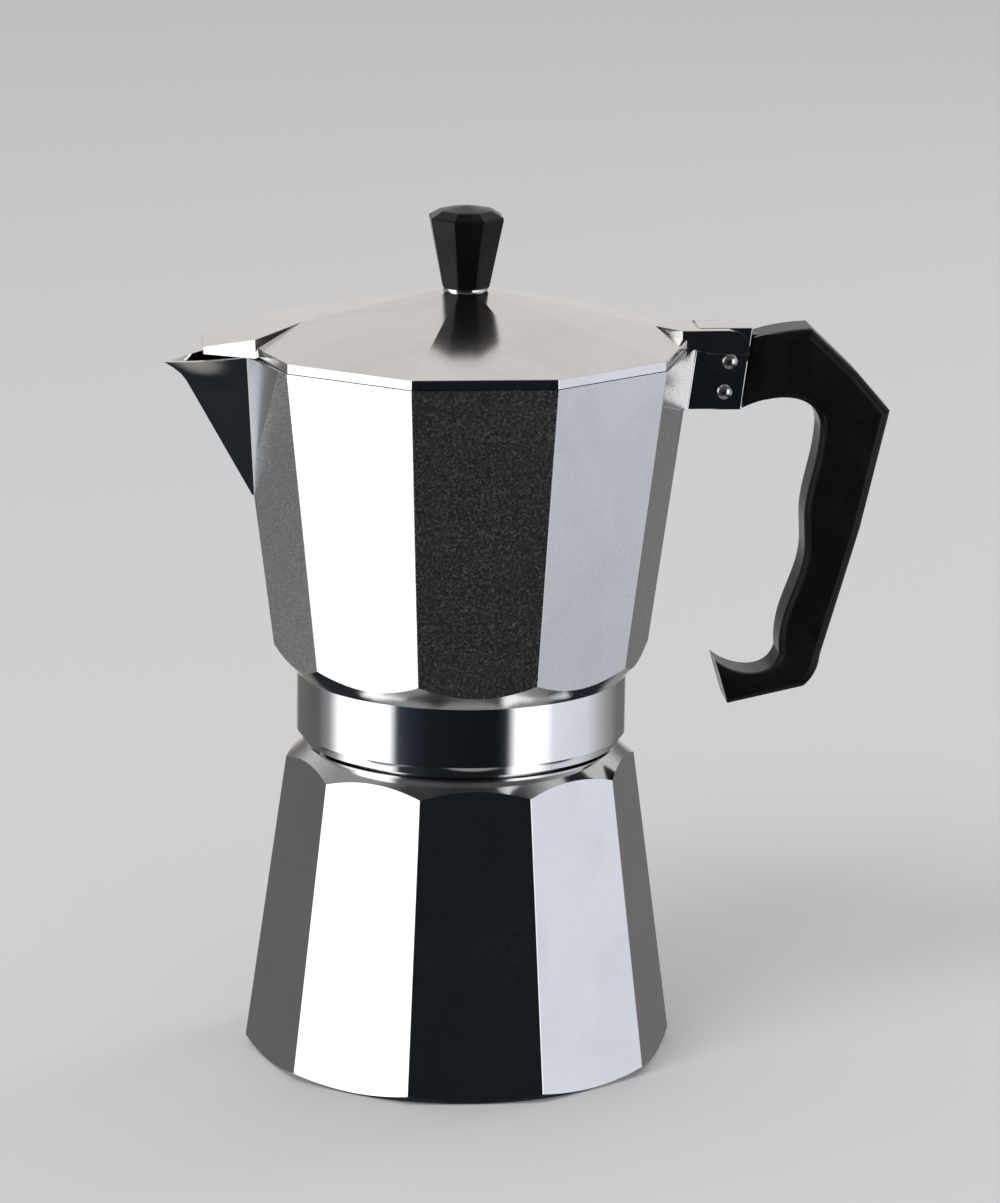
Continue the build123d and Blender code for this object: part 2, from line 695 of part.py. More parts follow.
def make_hinge_ears():
    """Tongue that grows out of the lid's ridge, and two ears that straddle the lug."""
    top = rim_level + tongue_rise
    start, root = rim_radius - tongue_start, rim_radius - tongue_root
    point_top, point_half = pyramid_level(start) - point_dip, tongue_point_half_width
    sections = [
        trapezoid(start, lid_bottom + lid_wall, point_half, point_top, point_half / 3),
        trapezoid(root, lid_bottom, ear_outer, top, ear_outer),
    ]
    tongue = loft(sections, ruled=True)
    ear_x, ear_z = rim_radius + ear_centre_reach, rim_level - ear_centre_drop
    drop_x, strip_bottom = rim_radius + strip_start, rim_level - strip_drop
    strip = side_plate([
        (root, lid_bottom), (drop_x, lid_bottom), (drop_x, strip_bottom),
        (hinge_x, strip_bottom - strip_fall), (hinge_x, top), (root, top),
    ], ear_outer)
    fall = strip_fall / (hinge_x - drop_x)
    over = side_plate([
        (drop_x, strip_bottom), (2 * drop_x, strip_bottom - drop_x * fall),
        (2 * drop_x, 2 * top), (drop_x, 2 * top),
    ], ear_outer)
    strip += cross_pin(ear_x, ear_z, ear_radius, ear_outer) & over
    lobes = cross_pin(ear_x, ear_z, ear_radius, lobe_outer)
    web_end = rim_radius + tongue_web
    between = Pos(web_end + big / 2, 0, hinge_z) * Box(big, 2 * ear_inner, big)
    swept = cross_pin(hinge_x, hinge_z, lug_sweep_radius + sweep_gap, ear_inner)
    return (tongue + strip + lobes) - between - swept


def make_lid():
    point = boss_cut / lid_slope
    shell = frustum(lid_radius, lid_bottom, lid_radius, band_top, rounding=lid_corner_round)
    shell += frustum(lid_radius, band_top, point, knob_level, rounding=lid_corner_round)
    drop = lid_wall * math.hypot(1, lid_slope)
    inner_radius = lid_radius - lid_wall / flat_ratio
    inner_band = pyramid_level(inner_radius) - drop
    hollow = frustum(inner_radius, lid_bottom - 1, inner_radius, inner_band)
    hollow += frustum(inner_radius, inner_band, point, knob_level - drop)

    shell += make_beak(0) + make_hinge_ears()
    beak_hollow = make_beak(lid_wall)
    shell -= hollow + beak_hollow
    shell -= cross_pin(hinge_x, hinge_z, lug_sweep_radius + sweep_gap, ear_inner)

    lip_radius = chamber_wall_radius(rim_level) - (chamber_wall + lip_gap) / flat_ratio
    lip = frustum(lip_radius, rim_level - lip_drop, lip_radius, band_top)
    lip -= frustum(lip_radius - lip_wall, rim_level - big, lip_radius - lip_wall, band_top + 1)
    lip &= frustum(lid_radius - lip_bury, rim_level - big, lid_radius - lip_bury, band_top - lip_bury)
    open_width = 2 * (beak_root_half_width + lip_spout_gap)
    spout_side = Pos(-rim_radius, 0, rim_level) * Box(rim_radius, open_width, big)
    shell += lip - spout_side

    shell += disc(boss_radius, knob_level - boss_depth, knob_level)
    shell -= disc(screw_radius + screw_clearance, knob_level - big, knob_level + big)
    shell -= cross_pin(hinge_x, hinge_z, pin_radius + pin_gap, 2 * ear_outer)
    return shell


def rivet(x, z, seat):
    """Pin along Y with a domed head on each side, which starts at the distance seat from the middle."""
    ball = (rivet_head_radius**2 + rivet_head_height**2) / (2 * rivet_head_height)
    pin = cross_pin(x, z, pin_radius, seat + rivet_head_height / 2)
    for side in (-1, 1):
        dome = Pos(x, side * (seat + rivet_head_height - ball), z) * Sphere(ball)
        outside = Pos(x, side * (seat + ball), z) * Box(2 * ball, 2 * ball, 2 * ball)
        pin += dome & outside
    return pin


def make_hinge_pin():
    return rivet(hinge_x, hinge_z, lobe_outer + seat_gap)


def make_handle_pin():
    return rivet(grip_pin_x, grip_pin_z, lug_half_width)


# ---- Knob ---------------------------------------------------------------------------------------
def knob_part(low_flats, low, high_flats, high):
    half = 2 * math.cos(math.radians(180 / knob_sides))
    return frustum(low_flats / half, low, high_flats / half, high, knob_sides, 180 / knob_sides)


def make_knob():
    edge = knob_level + knob_rise
    crown = edge + knob_crown_rise
    knob = knob_part(knob_foot_flats, knob_level, knob_top_flats, edge)
    knob += knob_part(knob_top_flats, edge, knob_crown_flats, crown)
    knob += knob_part(knob_crown_flats, crown, knob_peak_flats, crown + knob_peak_rise)
    return knob - disc(insert_radius, knob_level - 1, knob_level + insert_length)


def make_knob_insert():
    return ring(insert_radius, screw_radius + screw_thread_gap, knob_level, knob_level + insert_length)


def make_knob_washer():
    top = knob_level - boss_depth
    return ring(washer_radius, screw_radius + screw_clearance, top - washer_thickness, top)


def make_knob_screw():
    seat = knob_level - boss_depth - washer_thickness
    screw = disc(screw_radius, seat - 1, knob_level + screw_bite)
    screw += disc(screw_head_radius, seat - screw_head_height, seat)
    slot = Box(3 * screw_head_radius, screw_slot_width, 2 * screw_slot_depth)
    slot = Pos(0, 0, seat - screw_head_height) * slot
    return screw - slot


# ---- Handle -------------------------------------------------------------------------------------
def grip_outline():
    """Side view of the handle, from the pot's corner at the rim: x outwards and z upwards."""
    def at(x, z):
        return (rim_radius + x, 0, rim_level + z)

    start = at(lug_top_reach + lug_end_gap, 2.4)
    shoulder = Spline(start, at(21.3, 4.0), at(29.0, 4.8))
    back = Polyline(
        at(29.0, 4.8), at(40.7, -6.4), at(49.5, -16.5), at(42.7, -46.9), at(38.0, -63.6), at(33.3, -80.1),
    )
    heel = Spline(at(33.3, -80.1), at(31.6, -85.5), at(29.2, -88.2))
    hook_foot = Polyline(at(29.2, -88.2), at(9.7, -92.5), at(6.3, -81.0))
    hook_top = Spline(at(6.3, -81.0), at(13.1, -84.3), at(19.5, -83.8), at(22.8, -79.6))
    waves = Spline(
        at(22.8, -79.6), at(24.0, -68.6), at(28.6, -53.3), at(28.4, -43.2), at(31.0, -28.8), at(31.9, -20.5),
    )
    arch = Spline(at(31.9, -20.5), at(28.4, -14.4), at(21.4, -13.0), at(lug_foot_reach + lug_end_gap, -15.6))
    close = Line(at(lug_foot_reach + lug_end_gap, -15.6), start)
    return make_face([shoulder, back, heel, hook_foot, hook_top, waves, arch, close])


def make_handle():
    """Moulded grip with a tang that fills the lug's slot."""
    grip = extrude(grip_outline(), handle_half_width, dir=(0, 1, 0), both=True)
    faces = [f for f in grip.faces() if abs(f.normal_at().Y) > 0.99]
    rims = [e for f in faces for e in f.edges()]
    start = rim_radius + lug_foot_reach
    neck = rim_radius + lug_top_reach + handle_neck
    rims = [e for e in rims if e.center().X > start + handle_neck]
    grip = fillet(rims, handle_edge)
    root, full, wide = handle_root_half_width, handle_half_width + 1, neck + handle_taper
    plan = make_face(Polyline(
        (start - handle_neck, -root), (neck, -root), (wide, -full), (big, -full),
        (big, full), (wide, full), (neck, root), (start - handle_neck, root), close=True,
    ))
    taper_level = rim_level - handle_taper_drop
    lower = Pos(0, 0, taper_level - big / 2) * Box(big * 2, big, big)
    grip &= Pos(0, 0, taper_level - 1) * extrude(plan, big) + lower
    tang_start, tang_end = rim_radius + lug_slot_start + tang_gap, rim_radius + lug_top_reach + tang_root
    tang_foot, tang_top = rim_level - tang_drop, rim_level + lug_rise - lug_top_wall - tang_gap
    tang = side_plate([
        (tang_start, tang_foot), (tang_end, tang_foot), (tang_end, tang_top), (tang_start, tang_top),
    ], lug_slot_half_width - tang_gap)
    grip += tang
    for x, z in ((hinge_x, hinge_z), (grip_pin_x, grip_pin_z)):
        grip -= cross_pin(x, z, pin_radius + pin_gap, big)
    return grip


nodes = {
    "boiler": make_boiler,
    "valve_body": make_valve_body,
    "valve_washer": make_valve_washer,
    "valve_nut": make_valve_nut,
    "valve_poppet": make_valve_poppet,
    "valve_spring": make_valve_spring,
    "valve_retainer": make_valve_retainer,
    "funnel_basket": make_funnel_basket,
    "funnel_tube": make_funnel_tube,
    "funnel_sieve": make_funnel_sieve,
    "gasket": make_gasket,
    "filter_plate": make_filter_plate,
    "collector": make_collector,
    "column_cap": make_column_cap,
    "lid": make_lid,
    "hinge_pin": make_hinge_pin,
    "knob": make_knob,
    "knob_insert": make_knob_insert,
    "knob_washer": make_knob_washer,
    "knob_screw": make_knob_screw,
    "handle": make_handle,
    "handle_pin": make_handle_pin,
}

os.makedirs("parts", exist_ok=True)
for node, make in nodes.items():
    write(make(), node)
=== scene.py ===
# %% [markdown]
# # A ten-sided moka pot
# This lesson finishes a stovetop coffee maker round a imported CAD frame. The frame fixes every size and
# place, in metres, with +Z up, +X towards the handle and -X towards the spout. Every finish is made of
# nodes, so it keeps its real scale on every piece and needs no image files.

# %% Load the frame
import json
import math

import bmesh
import bpy
from mathutils import Matrix, Vector

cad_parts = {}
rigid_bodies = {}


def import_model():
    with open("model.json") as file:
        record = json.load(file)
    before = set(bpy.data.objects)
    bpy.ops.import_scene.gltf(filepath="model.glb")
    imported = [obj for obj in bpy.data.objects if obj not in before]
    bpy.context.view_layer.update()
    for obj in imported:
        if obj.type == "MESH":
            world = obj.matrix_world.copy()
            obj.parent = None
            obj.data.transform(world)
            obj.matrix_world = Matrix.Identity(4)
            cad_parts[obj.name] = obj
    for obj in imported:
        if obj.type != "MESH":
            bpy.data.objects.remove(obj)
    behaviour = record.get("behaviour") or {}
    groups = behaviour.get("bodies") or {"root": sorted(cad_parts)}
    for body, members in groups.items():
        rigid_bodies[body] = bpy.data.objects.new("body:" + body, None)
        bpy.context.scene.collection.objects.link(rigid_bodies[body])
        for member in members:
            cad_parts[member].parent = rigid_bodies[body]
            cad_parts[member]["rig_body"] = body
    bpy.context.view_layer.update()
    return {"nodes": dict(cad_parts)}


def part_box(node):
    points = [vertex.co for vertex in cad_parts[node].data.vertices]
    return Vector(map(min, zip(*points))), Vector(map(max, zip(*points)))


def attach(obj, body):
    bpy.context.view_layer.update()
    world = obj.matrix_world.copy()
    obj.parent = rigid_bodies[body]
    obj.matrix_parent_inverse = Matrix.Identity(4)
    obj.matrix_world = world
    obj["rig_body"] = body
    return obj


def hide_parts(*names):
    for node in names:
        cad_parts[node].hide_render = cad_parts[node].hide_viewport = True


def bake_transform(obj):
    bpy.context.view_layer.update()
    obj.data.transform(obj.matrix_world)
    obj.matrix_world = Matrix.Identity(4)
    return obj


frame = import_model()

# %% [markdown]
# The camera stands almost square to the pot's side, a little above the rim, with a long lens. A long lens
# keeps the facets' edges nearly parallel. A wide one close by would make the pot look splayed.

# %% Camera
LENS_MM = 171.0
SENSOR_MM = 36
CAMERA_DISTANCE = 1.4507
CAMERA_AZIMUTH = math.radians(-95.31)
CAMERA_RISE = math.radians(14.05)
LOOK_HEIGHT = 0.1168
PAN = math.radians(-0.392)
ROLL = math.radians(0.747)

camera_data = bpy.data.cameras.new("camera")
camera_data.lens = LENS_MM
camera_data.sensor_width = SENSOR_MM
camera = bpy.data.objects.new("camera", camera_data)
bpy.context.scene.collection.objects.link(camera)
bpy.context.scene.camera = camera
ground_distance = CAMERA_DISTANCE * math.cos(CAMERA_RISE)
camera.location = (
    ground_distance * math.cos(CAMERA_AZIMUTH),
    ground_distance * math.sin(CAMERA_AZIMUTH),
    LOOK_HEIGHT + CAMERA_DISTANCE * math.sin(CAMERA_RISE),
)
look = Matrix.Rotation(PAN, 3, "Z") @ (Vector((0, 0, LOOK_HEIGHT)) - camera.location)
turn = look.to_track_quat("-Z", "Y").to_matrix().to_4x4()
camera.matrix_world = Matrix.Translation(camera.location) @ turn @ Matrix.Rotation(ROLL, 4, "Z")
print("camera at", [round(v, 3) for v in camera.location])

# %% [markdown]
# Node trees are long when every node takes four lines. One helper makes a node, sets its plain values and
# joins the sockets that it is given. Three more, for a sum, a soft step and a blend of two colours, make
# most of what a finish needs.

# %% Helpers for node trees
def add(tree, kind, inputs=None, **settings):
    """One node: a plain value is set on its socket, and a socket is joined to it."""
    made = tree.nodes.new(kind)
    for name, value in settings.items():
        setattr(made, name, value)
    for key, value in (inputs or {}).items():
        if isinstance(value, bpy.types.NodeSocket):
            tree.links.new(value, made.inputs[key])
        else:
            made.inputs[key].default_value = value
    return made


def calculate(tree, operation, a, b=0.0, c=0.0, clamp=False):
    """One sum on numbers or sockets. The third one is only for operations such as a * b + c."""
    inputs = {0: a, 1: b, 2: c}
    return add(tree, "ShaderNodeMath", inputs, operation=operation, use_clamp=clamp).outputs[0]


def step(tree, value, start, end):
    """Rises smoothly from 0 at start to 1 at end."""
    inputs = {"Value": value, "From Min": start, "From Max": end}
    return add(tree, "ShaderNodeMapRange", inputs, interpolation_type="SMOOTHSTEP").outputs["Result"]


def blend(tree, share, first, second):
    """A colour between two colours."""
    mix = add(tree, "ShaderNodeMix", {"Factor": share}, data_type="RGBA")
    for key, value in ((6, first), (7, second)):
        if isinstance(value, bpy.types.NodeSocket):
            tree.links.new(value, mix.inputs[key])
        else:
            mix.inputs[key].default_value = (*value, 1)
    return mix.outputs[2]


print("helpers for nodes, sums, steps and blends")

# %% [markdown]
# A node group is an effect that is written once, with named inputs and outputs, and then placed in
# several finishes, each time with its own values. The other way, copying the nodes into each finish,
# means that a change has to be made everywhere.

# %% Helpers for node groups
def new_group(name, inputs, outputs):
    """An empty node group, with its input and output nodes. Inputs are names and starting values."""
    group = bpy.data.node_groups.new(name, "ShaderNodeTree")
    for label, value in inputs.items():
        socket = group.interface.new_socket(label, in_out="INPUT", socket_type="NodeSocketFloat")
        socket.default_value = value
    for label in outputs:
        group.interface.new_socket(label, in_out="OUTPUT", socket_type="NodeSocketFloat")
    return group, group.nodes.new("NodeGroupInput"), group.nodes.new("NodeGroupOutput")


def use_group(tree, group, **values):
    """Places a group with its own values, and gives its outputs."""
    made = tree.nodes.new("ShaderNodeGroup")
    made.node_tree = group
    for label, value in values.items():
        made.inputs[label].default_value = value
    return made.outputs


print("helpers for node groups")

# %% [markdown]
# A polished pot has hardly a colour of its own: what you see is the room in its facets. So the light is
# planned as three rings of cards round the pot, one above, one level and one below, with a dark table
# under them and a dark ceiling over them. Each facet turns the view by a different angle and picks its
# own card: grey, white, black, light grey and grey again.
# Only reflections see the cards. The floor and the shadows get a plain even light instead, which is what
# keeps the studio looking soft.

# %% Directions round the camera
scene = bpy.context.scene
scene.view_settings.view_transform = "Standard"
world = bpy.data.worlds.new("studio")
scene.world = world
world.use_nodes = True
studio = world.node_tree
studio.nodes.clear()

toward = add(studio, "ShaderNodeTexCoord").outputs["Generated"]
turned_view = add(studio, "ShaderNodeMapping", {"Vector": toward, "Rotation": (0, 0, -CAMERA_AZIMUTH)})
inputs = {"Vector": turned_view.outputs[0]}
round_share = add(studio, "ShaderNodeTexGradient", inputs, gradient_type="RADIAL")
height = add(studio, "ShaderNodeSeparateXYZ", {0: toward}).outputs["Z"]
print("studio world", world.name)

# %% [markdown]
# A ring is one colour ramp bent into a circle, so its cards fade into each other as real ones do when
# they stand out of focus. Degrees count from the camera to its right, so the card at 0 stands behind the
# camera, and a facet that faces the camera shows it.

# %% Three rings of cards
def card_ring(name, cards):
    """Cards as (degrees right of the camera, colour). The colour runs evenly from each to the next."""
    ramp = add(studio, "ShaderNodeValToRGB", {0: round_share.outputs["Fac"]}, label=name)
    for _ in range(len(cards) - 2):
        ramp.color_ramp.elements.new(0.5)
    for element, (degrees, colour) in zip(ramp.color_ramp.elements, cards):
        element.position = degrees / 360 + 0.5
        element.color = (*colour, 1)
    print(name, "has", len(cards), "stops")
    return ramp.outputs["Color"]


WHITE = (1.45, 1.45, 1.45)
WALL = (0.66, 0.64, 0.62)
level_ring = card_ring("level ring", [
    (-180, WALL), (-168, WALL), (-160, (0.16, 0.155, 0.15)), (-118, (0.11, 0.108, 0.103)),
    (-104, (0.30, 0.30, 0.30)), (-92, WHITE), (-52, WHITE), (-45, (0.02, 0.03, 0.04)),
    (-20, (0.008, 0.010, 0.013)), (24, (0.004, 0.006, 0.007)), (33, (0.012, 0.018, 0.024)),
    (40, WHITE), (60, (1.30, 1.32, 1.38)), (68, (0.74, 0.77, 0.84)), (98, (0.68, 0.70, 0.76)),
    (118, (0.35, 0.35, 0.36)), (140, (0.16, 0.155, 0.15)), (162, (0.15, 0.145, 0.14)), (170, WALL),
    (180, WALL),
])
low_ring = card_ring("low ring", [
    (-180, (0.26, 0.25, 0.24)), (-150, (0.19, 0.18, 0.165)), (-137, (0.19, 0.18, 0.165)),
    (-131, (0.55, 0.60, 0.68)), (-112, (0.55, 0.60, 0.68)), (-96, (0.7, 0.7, 0.7)),
    (-88, WHITE), (-44, WHITE), (-36, (0.02, 0.02, 0.02)), (-14, (0.014, 0.014, 0.014)),
    (30, (0.018, 0.018, 0.017)), (40, (0.5, 0.5, 0.52)), (56, (0.62, 0.65, 0.70)),
    (72, (0.46, 0.485, 0.52)), (104, (0.45, 0.475, 0.51)), (128, (0.29, 0.285, 0.28)),
    (180, (0.26, 0.25, 0.24)),
])
high_ring = card_ring("high ring", [
    (-180, WALL), (-145, (0.55, 0.54, 0.53)), (-125, (0.27, 0.27, 0.27)), (-97, (0.26, 0.26, 0.26)),
    (-86, WHITE), (-60, WHITE), (-50, (0.10, 0.10, 0.10)), (0, (0.05, 0.05, 0.05)),
    (60, (0.10, 0.10, 0.10)), (105, (0.44, 0.44, 0.44)), (128, (0.48, 0.48, 0.48)),
    (145, (0.55, 0.54, 0.53)), (180, WALL),
])

# %% [markdown]
# The rings are stacked from the floor up, with a soft border between each and the next. A face that
# leans, such as the shoulder, looks up or down into another ring, so the heights of the borders matter as
# much as the colours.

# %% Stack of rings, and the soft light
DARK_TABLE = (0.015, 0.018, 0.023)
FLOOR_BELOW = (0.27, 0.26, 0.245)
DARK_CEILING = (0.035, 0.035, 0.037)
# Each layer takes over from the one below between two heights, in degrees above the horizon.
LAYERS = (
    (-62, -54, DARK_TABLE), (-38, -31, low_ring), (-25, -17, level_ring), (8, 26, high_ring),
    (56, 70, DARK_CEILING),
)


def rise(degrees):
    """Height of a direction on a sphere of radius 1, from its angle above the horizon."""
    return math.sin(math.radians(degrees))


rings = FLOOR_BELOW
for bottom, top, ring in LAYERS:
    rings = blend(studio, step(studio, height, rise(bottom), rise(top)), rings, ring)

SOFT_LIGHT = (0.74, 0.745, 0.75)
reflected = add(studio, "ShaderNodeLightPath").outputs["Is Glossy Ray"]
seen = blend(studio, reflected, SOFT_LIGHT, rings)
background = add(studio, "ShaderNodeBackground", {"Color": seen, "Strength": 1.0})
add(studio, "ShaderNodeOutputWorld", {"Surface": background.outputs[0]})
print("world with", len(LAYERS), "layers over the floor")

# %% [markdown]
# One large lamp high on the left gives the pot a soft shadow to stand on. A weaker one behind opens the
# dark side of the black grip. Neither shows in the metal, because a lamp's square reflection would look
# like a window: the metal sees only the cards.

# %% Two soft lamps
KEY_WATTS = 22
RIM_WATTS = 5


def softbox(name, place, target, size, watts):
    """A soft rectangular lamp that shines at the target and is never seen itself."""
    lamp = bpy.data.lights.new(name, "AREA")
    lamp.shape = "RECTANGLE"
    lamp.size, lamp.size_y = size
    lamp.energy = watts
    holder = bpy.data.objects.new(name, lamp)
    scene.collection.objects.link(holder)
    holder.location = place
    holder.rotation_euler = (Vector(target) - Vector(place)).to_track_quat("-Z", "Y").to_euler()
    holder.visible_camera = False
    holder.visible_glossy = False
    return holder


key_lamp = softbox("key_lamp", (-1.1, -1.2, 1.9), (0, 0, 0.1), (1.1, 1.1), KEY_WATTS)
rim_lamp = softbox("rim_lamp", (1.2, 0.9, 1.2), (0.03, 0, 0.12), (0.5, 1.2), RIM_WATTS)
print("lamps", key_lamp.name, rim_lamp.name)

# %% [markdown]
# The floor is a plain pale sheet, far wider than any view. It isn't seen in reflections, because the
# cards below the horizon stand in for it there.

# %% Floor
FLOOR_WIDTH = 12
bpy.ops.object.select_all(action="DESELECT")
bpy.ops.mesh.primitive_plane_add(size=FLOOR_WIDTH)
floor = bpy.context.object
floor.name = "floor"
floor.visible_glossy = False
paint = bpy.data.materials.new("floor_paint")
paint.use_nodes = True
coat = paint.node_tree.nodes["Principled BSDF"]
coat.inputs["Base Color"].default_value = (0.62, 0.62, 0.625, 1)
coat.inputs["Roughness"].default_value = 0.7
floor.data.materials.append(paint)
print("floor", FLOOR_WIDTH, "m wide")

# %% [markdown]
# Three effects turn up in several finishes, so each is a node group. The first is the fine grain that
# sand casting leaves under the polish. It scatters small bright specks over a facet that reflects
# something dark. Noise on Object coordinates gives it one size on every piece.

# %% Casting grain
MILLIMETRE = 0.001


def make_grain():
    """Fine bumps, and specks that stand out more as the contrast rises. Size is in millimetres."""
    inputs = {"Size": 0.6, "Contrast": 3.0, "Level": 0.5}
    group, given, out = new_group("casting_grain", inputs, ["Specks", "Height"])
    place = add(group, "ShaderNodeTexCoord").outputs["Object"]
    scale = calculate(group, "DIVIDE", 1 / MILLIMETRE, given.outputs["Size"])
    inputs = {"Vector": place, "Scale": scale, "Detail": 3.0, "Roughness": 0.8}
    noise = add(group, "ShaderNodeTexNoise", inputs)
    above = calculate(group, "SUBTRACT", noise.outputs["Fac"], given.outputs["Level"])
    specks = calculate(group, "MULTIPLY", above, given.outputs["Contrast"], clamp=True)
    group.links.new(specks, out.inputs["Specks"])
    group.links.new(noise.outputs["Fac"], out.inputs["Height"])
    return group


grain = make_grain()
print("group", grain.name)

# %% [markdown]
# Lathe marks are rings. Here they follow the distance from the pot's axis and the height added together,
# so that one pattern makes rings on a flat face, a cone and a cylinder alike.

# %% Lathe marks
def make_lathe_marks():
    """Uneven rings round the pot's axis. Pitch is their mean width in millimetres."""
    group, given, out = new_group("lathe_marks", {"Pitch": 0.3}, ["Height"])
    place = add(group, "ShaderNodeTexCoord").outputs["Object"]
    across = add(group, "ShaderNodeVectorMath", {0: place, 1: (1, 1, 0)}, operation="MULTIPLY")
    radius = add(group, "ShaderNodeVectorMath", {0: across.outputs[0]}, operation="LENGTH")
    height = add(group, "ShaderNodeSeparateXYZ", {0: place}).outputs["Z"]
    along = calculate(group, "ADD", radius.outputs["Value"], height)
    rate = calculate(group, "DIVIDE", 1 / MILLIMETRE, given.outputs["Pitch"])
    rings_at = calculate(group, "MULTIPLY", along, rate)
    inputs = {"W": rings_at, "Scale": 1.0, "Detail": 3.0, "Roughness": 0.6}
    noise = add(group, "ShaderNodeTexNoise", inputs, noise_dimensions="1D")
    group.links.new(noise.outputs["Fac"], out.inputs["Height"])
    return group


lathe_marks = make_lathe_marks()
print("group", lathe_marks.name)

# %% [markdown]
# A pot in use is never evenly bright: fingers and a cloth leave broad, faint smears. They come from a
# slow noise with a soft step, and each finish says how much duller and darker a smear is.

# %% Handling
SMEAR_FROM, SMEAR_FULL = 0.42, 0.72


def make_handling():
    """Broad smears with a soft edge. Size is their width in millimetres."""
    group, given, out = new_group("handling", {"Size": 30.0, "Strength": 1.0}, ["Smear"])
    place = add(group, "ShaderNodeTexCoord").outputs["Object"]
    scale = calculate(group, "DIVIDE", 1 / MILLIMETRE, given.outputs["Size"])
    inputs = {"Vector": place, "Scale": scale, "Detail": 5.0, "Roughness": 0.62, "Distortion": 0.6}
    noise = add(group, "ShaderNodeTexNoise", inputs)
    worn = step(group, noise.outputs["Fac"], SMEAR_FROM, SMEAR_FULL)
    smear = calculate(group, "MULTIPLY", worn, given.outputs["Strength"])
    group.links.new(smear, out.inputs["Smear"])
    return group


handling = make_handling()
print("group", handling.name)

# %% [markdown]
# Each finish below is a Principled shader whose roughness, colour and relief come from these groups.
# Three short helpers save repeating the lines that every finish needs.

# %% Helpers for finishes
def shader(name):
    """A new material, its tree and its Principled shader."""
    made = bpy.data.materials.new(name)
    made.use_nodes = True
    return made, made.node_tree, made.node_tree.nodes["Principled BSDF"]


def set_values(bsdf, **values):
    """Numbers that are the same all over the surface."""
    for label, value in values.items():
        bsdf.inputs[label.replace("_", " ")].default_value = value


def relief(tree, bsdf, height, strength, depth):
    """Relief too fine to model, which only the light feels. Depth is in millimetres."""
    inputs = {"Height": height, "Strength": strength, "Distance": depth * MILLIMETRE}
    tree.links.new(add(tree, "ShaderNodeBump", inputs).outputs[0], bsdf.inputs["Normal"])


print("finish helpers ready")

# %% [markdown]
# The boiler, the collector and the lid are one alloy, sand cast and buffed on a wheel, and then turned
# where the thread and the joint run. The facets keep the grain, and the turned faces get rings instead.
# A face is turned if it lies below the collector's flare, or if it leans more than any facet does. Lean
# is 0 on an upright face and 1 on a level one, so with a limit over 1 no face counts as turned.
# The spout, its flanks and the lug have neither, because their grain is filed off by hand. The flank is a
# triangle, so its lower edge is a sloping line from the pot's corner at the rim to the spout's foot.

# %% Where the collector is turned, and where it is filed
FLARE_HEIGHT = 19.2 * MILLIMETRE
FLANK_HEIGHT = 39 * MILLIMETRE
FLANK_SLOPE = 1.144
FLANK_INSIDE = 44 * MILLIMETRE
FILED_INSIDE = 3.3 * MILLIMETRE
FILED_SLOPE = 0.3
END_BORDER = 2 * MILLIMETRE
HALF_BORDER = 0.5 * MILLIMETRE

collector_low, collector_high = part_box("collector")
flare_level = collector_low.z + FLARE_HEIGHT
flank_foot = collector_high.z - FLANK_HEIGHT
filed_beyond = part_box("boiler")[1].x - FILED_INSIDE


def filed_faces(tree, spot):
    """1 on the spout, its flanks and the lug, 0 on the facets."""
    along, across = (calculate(tree, "ABSOLUTE", spot.outputs[axis]) for axis in "XY")
    beyond = calculate(tree, "SUBTRACT", along, calculate(tree, "MULTIPLY", across, FILED_SLOPE))
    ends = step(tree, beyond, filed_beyond, filed_beyond + END_BORDER)
    climb = calculate(tree, "MULTIPLY", across, FLANK_SLOPE)
    height = calculate(tree, "SUBTRACT", spot.outputs["Z"], climb)
    flank = step(tree, height, flank_foot - HALF_BORDER, flank_foot + HALF_BORDER)
    left = step(tree, spot.outputs["X"], -FLANK_INSIDE, -FLANK_INSIDE - 2 * HALF_BORDER)
    return calculate(tree, "MAXIMUM", ends, calculate(tree, "MULTIPLY", flank, left))


print("turned below", round(flare_level, 4), "filed beyond", round(filed_beyond, 4))

# %% [markdown]
# One recipe makes the three castings. The roughness is the polish, plus the smears, plus the grain's
# specks where a face is still as it was cast. The relief is sand on those faces, rings on the turned ones
# and nothing on the filed ones.

# %% Cast aluminium
CAST_TINT = (0.90, 0.90, 0.905)
LID_TINT = (0.90, 0.89, 0.88)
SMEARED_CAST = 0.93
FACET_LEAN = 0.35
ANY_LEAN = 1.5


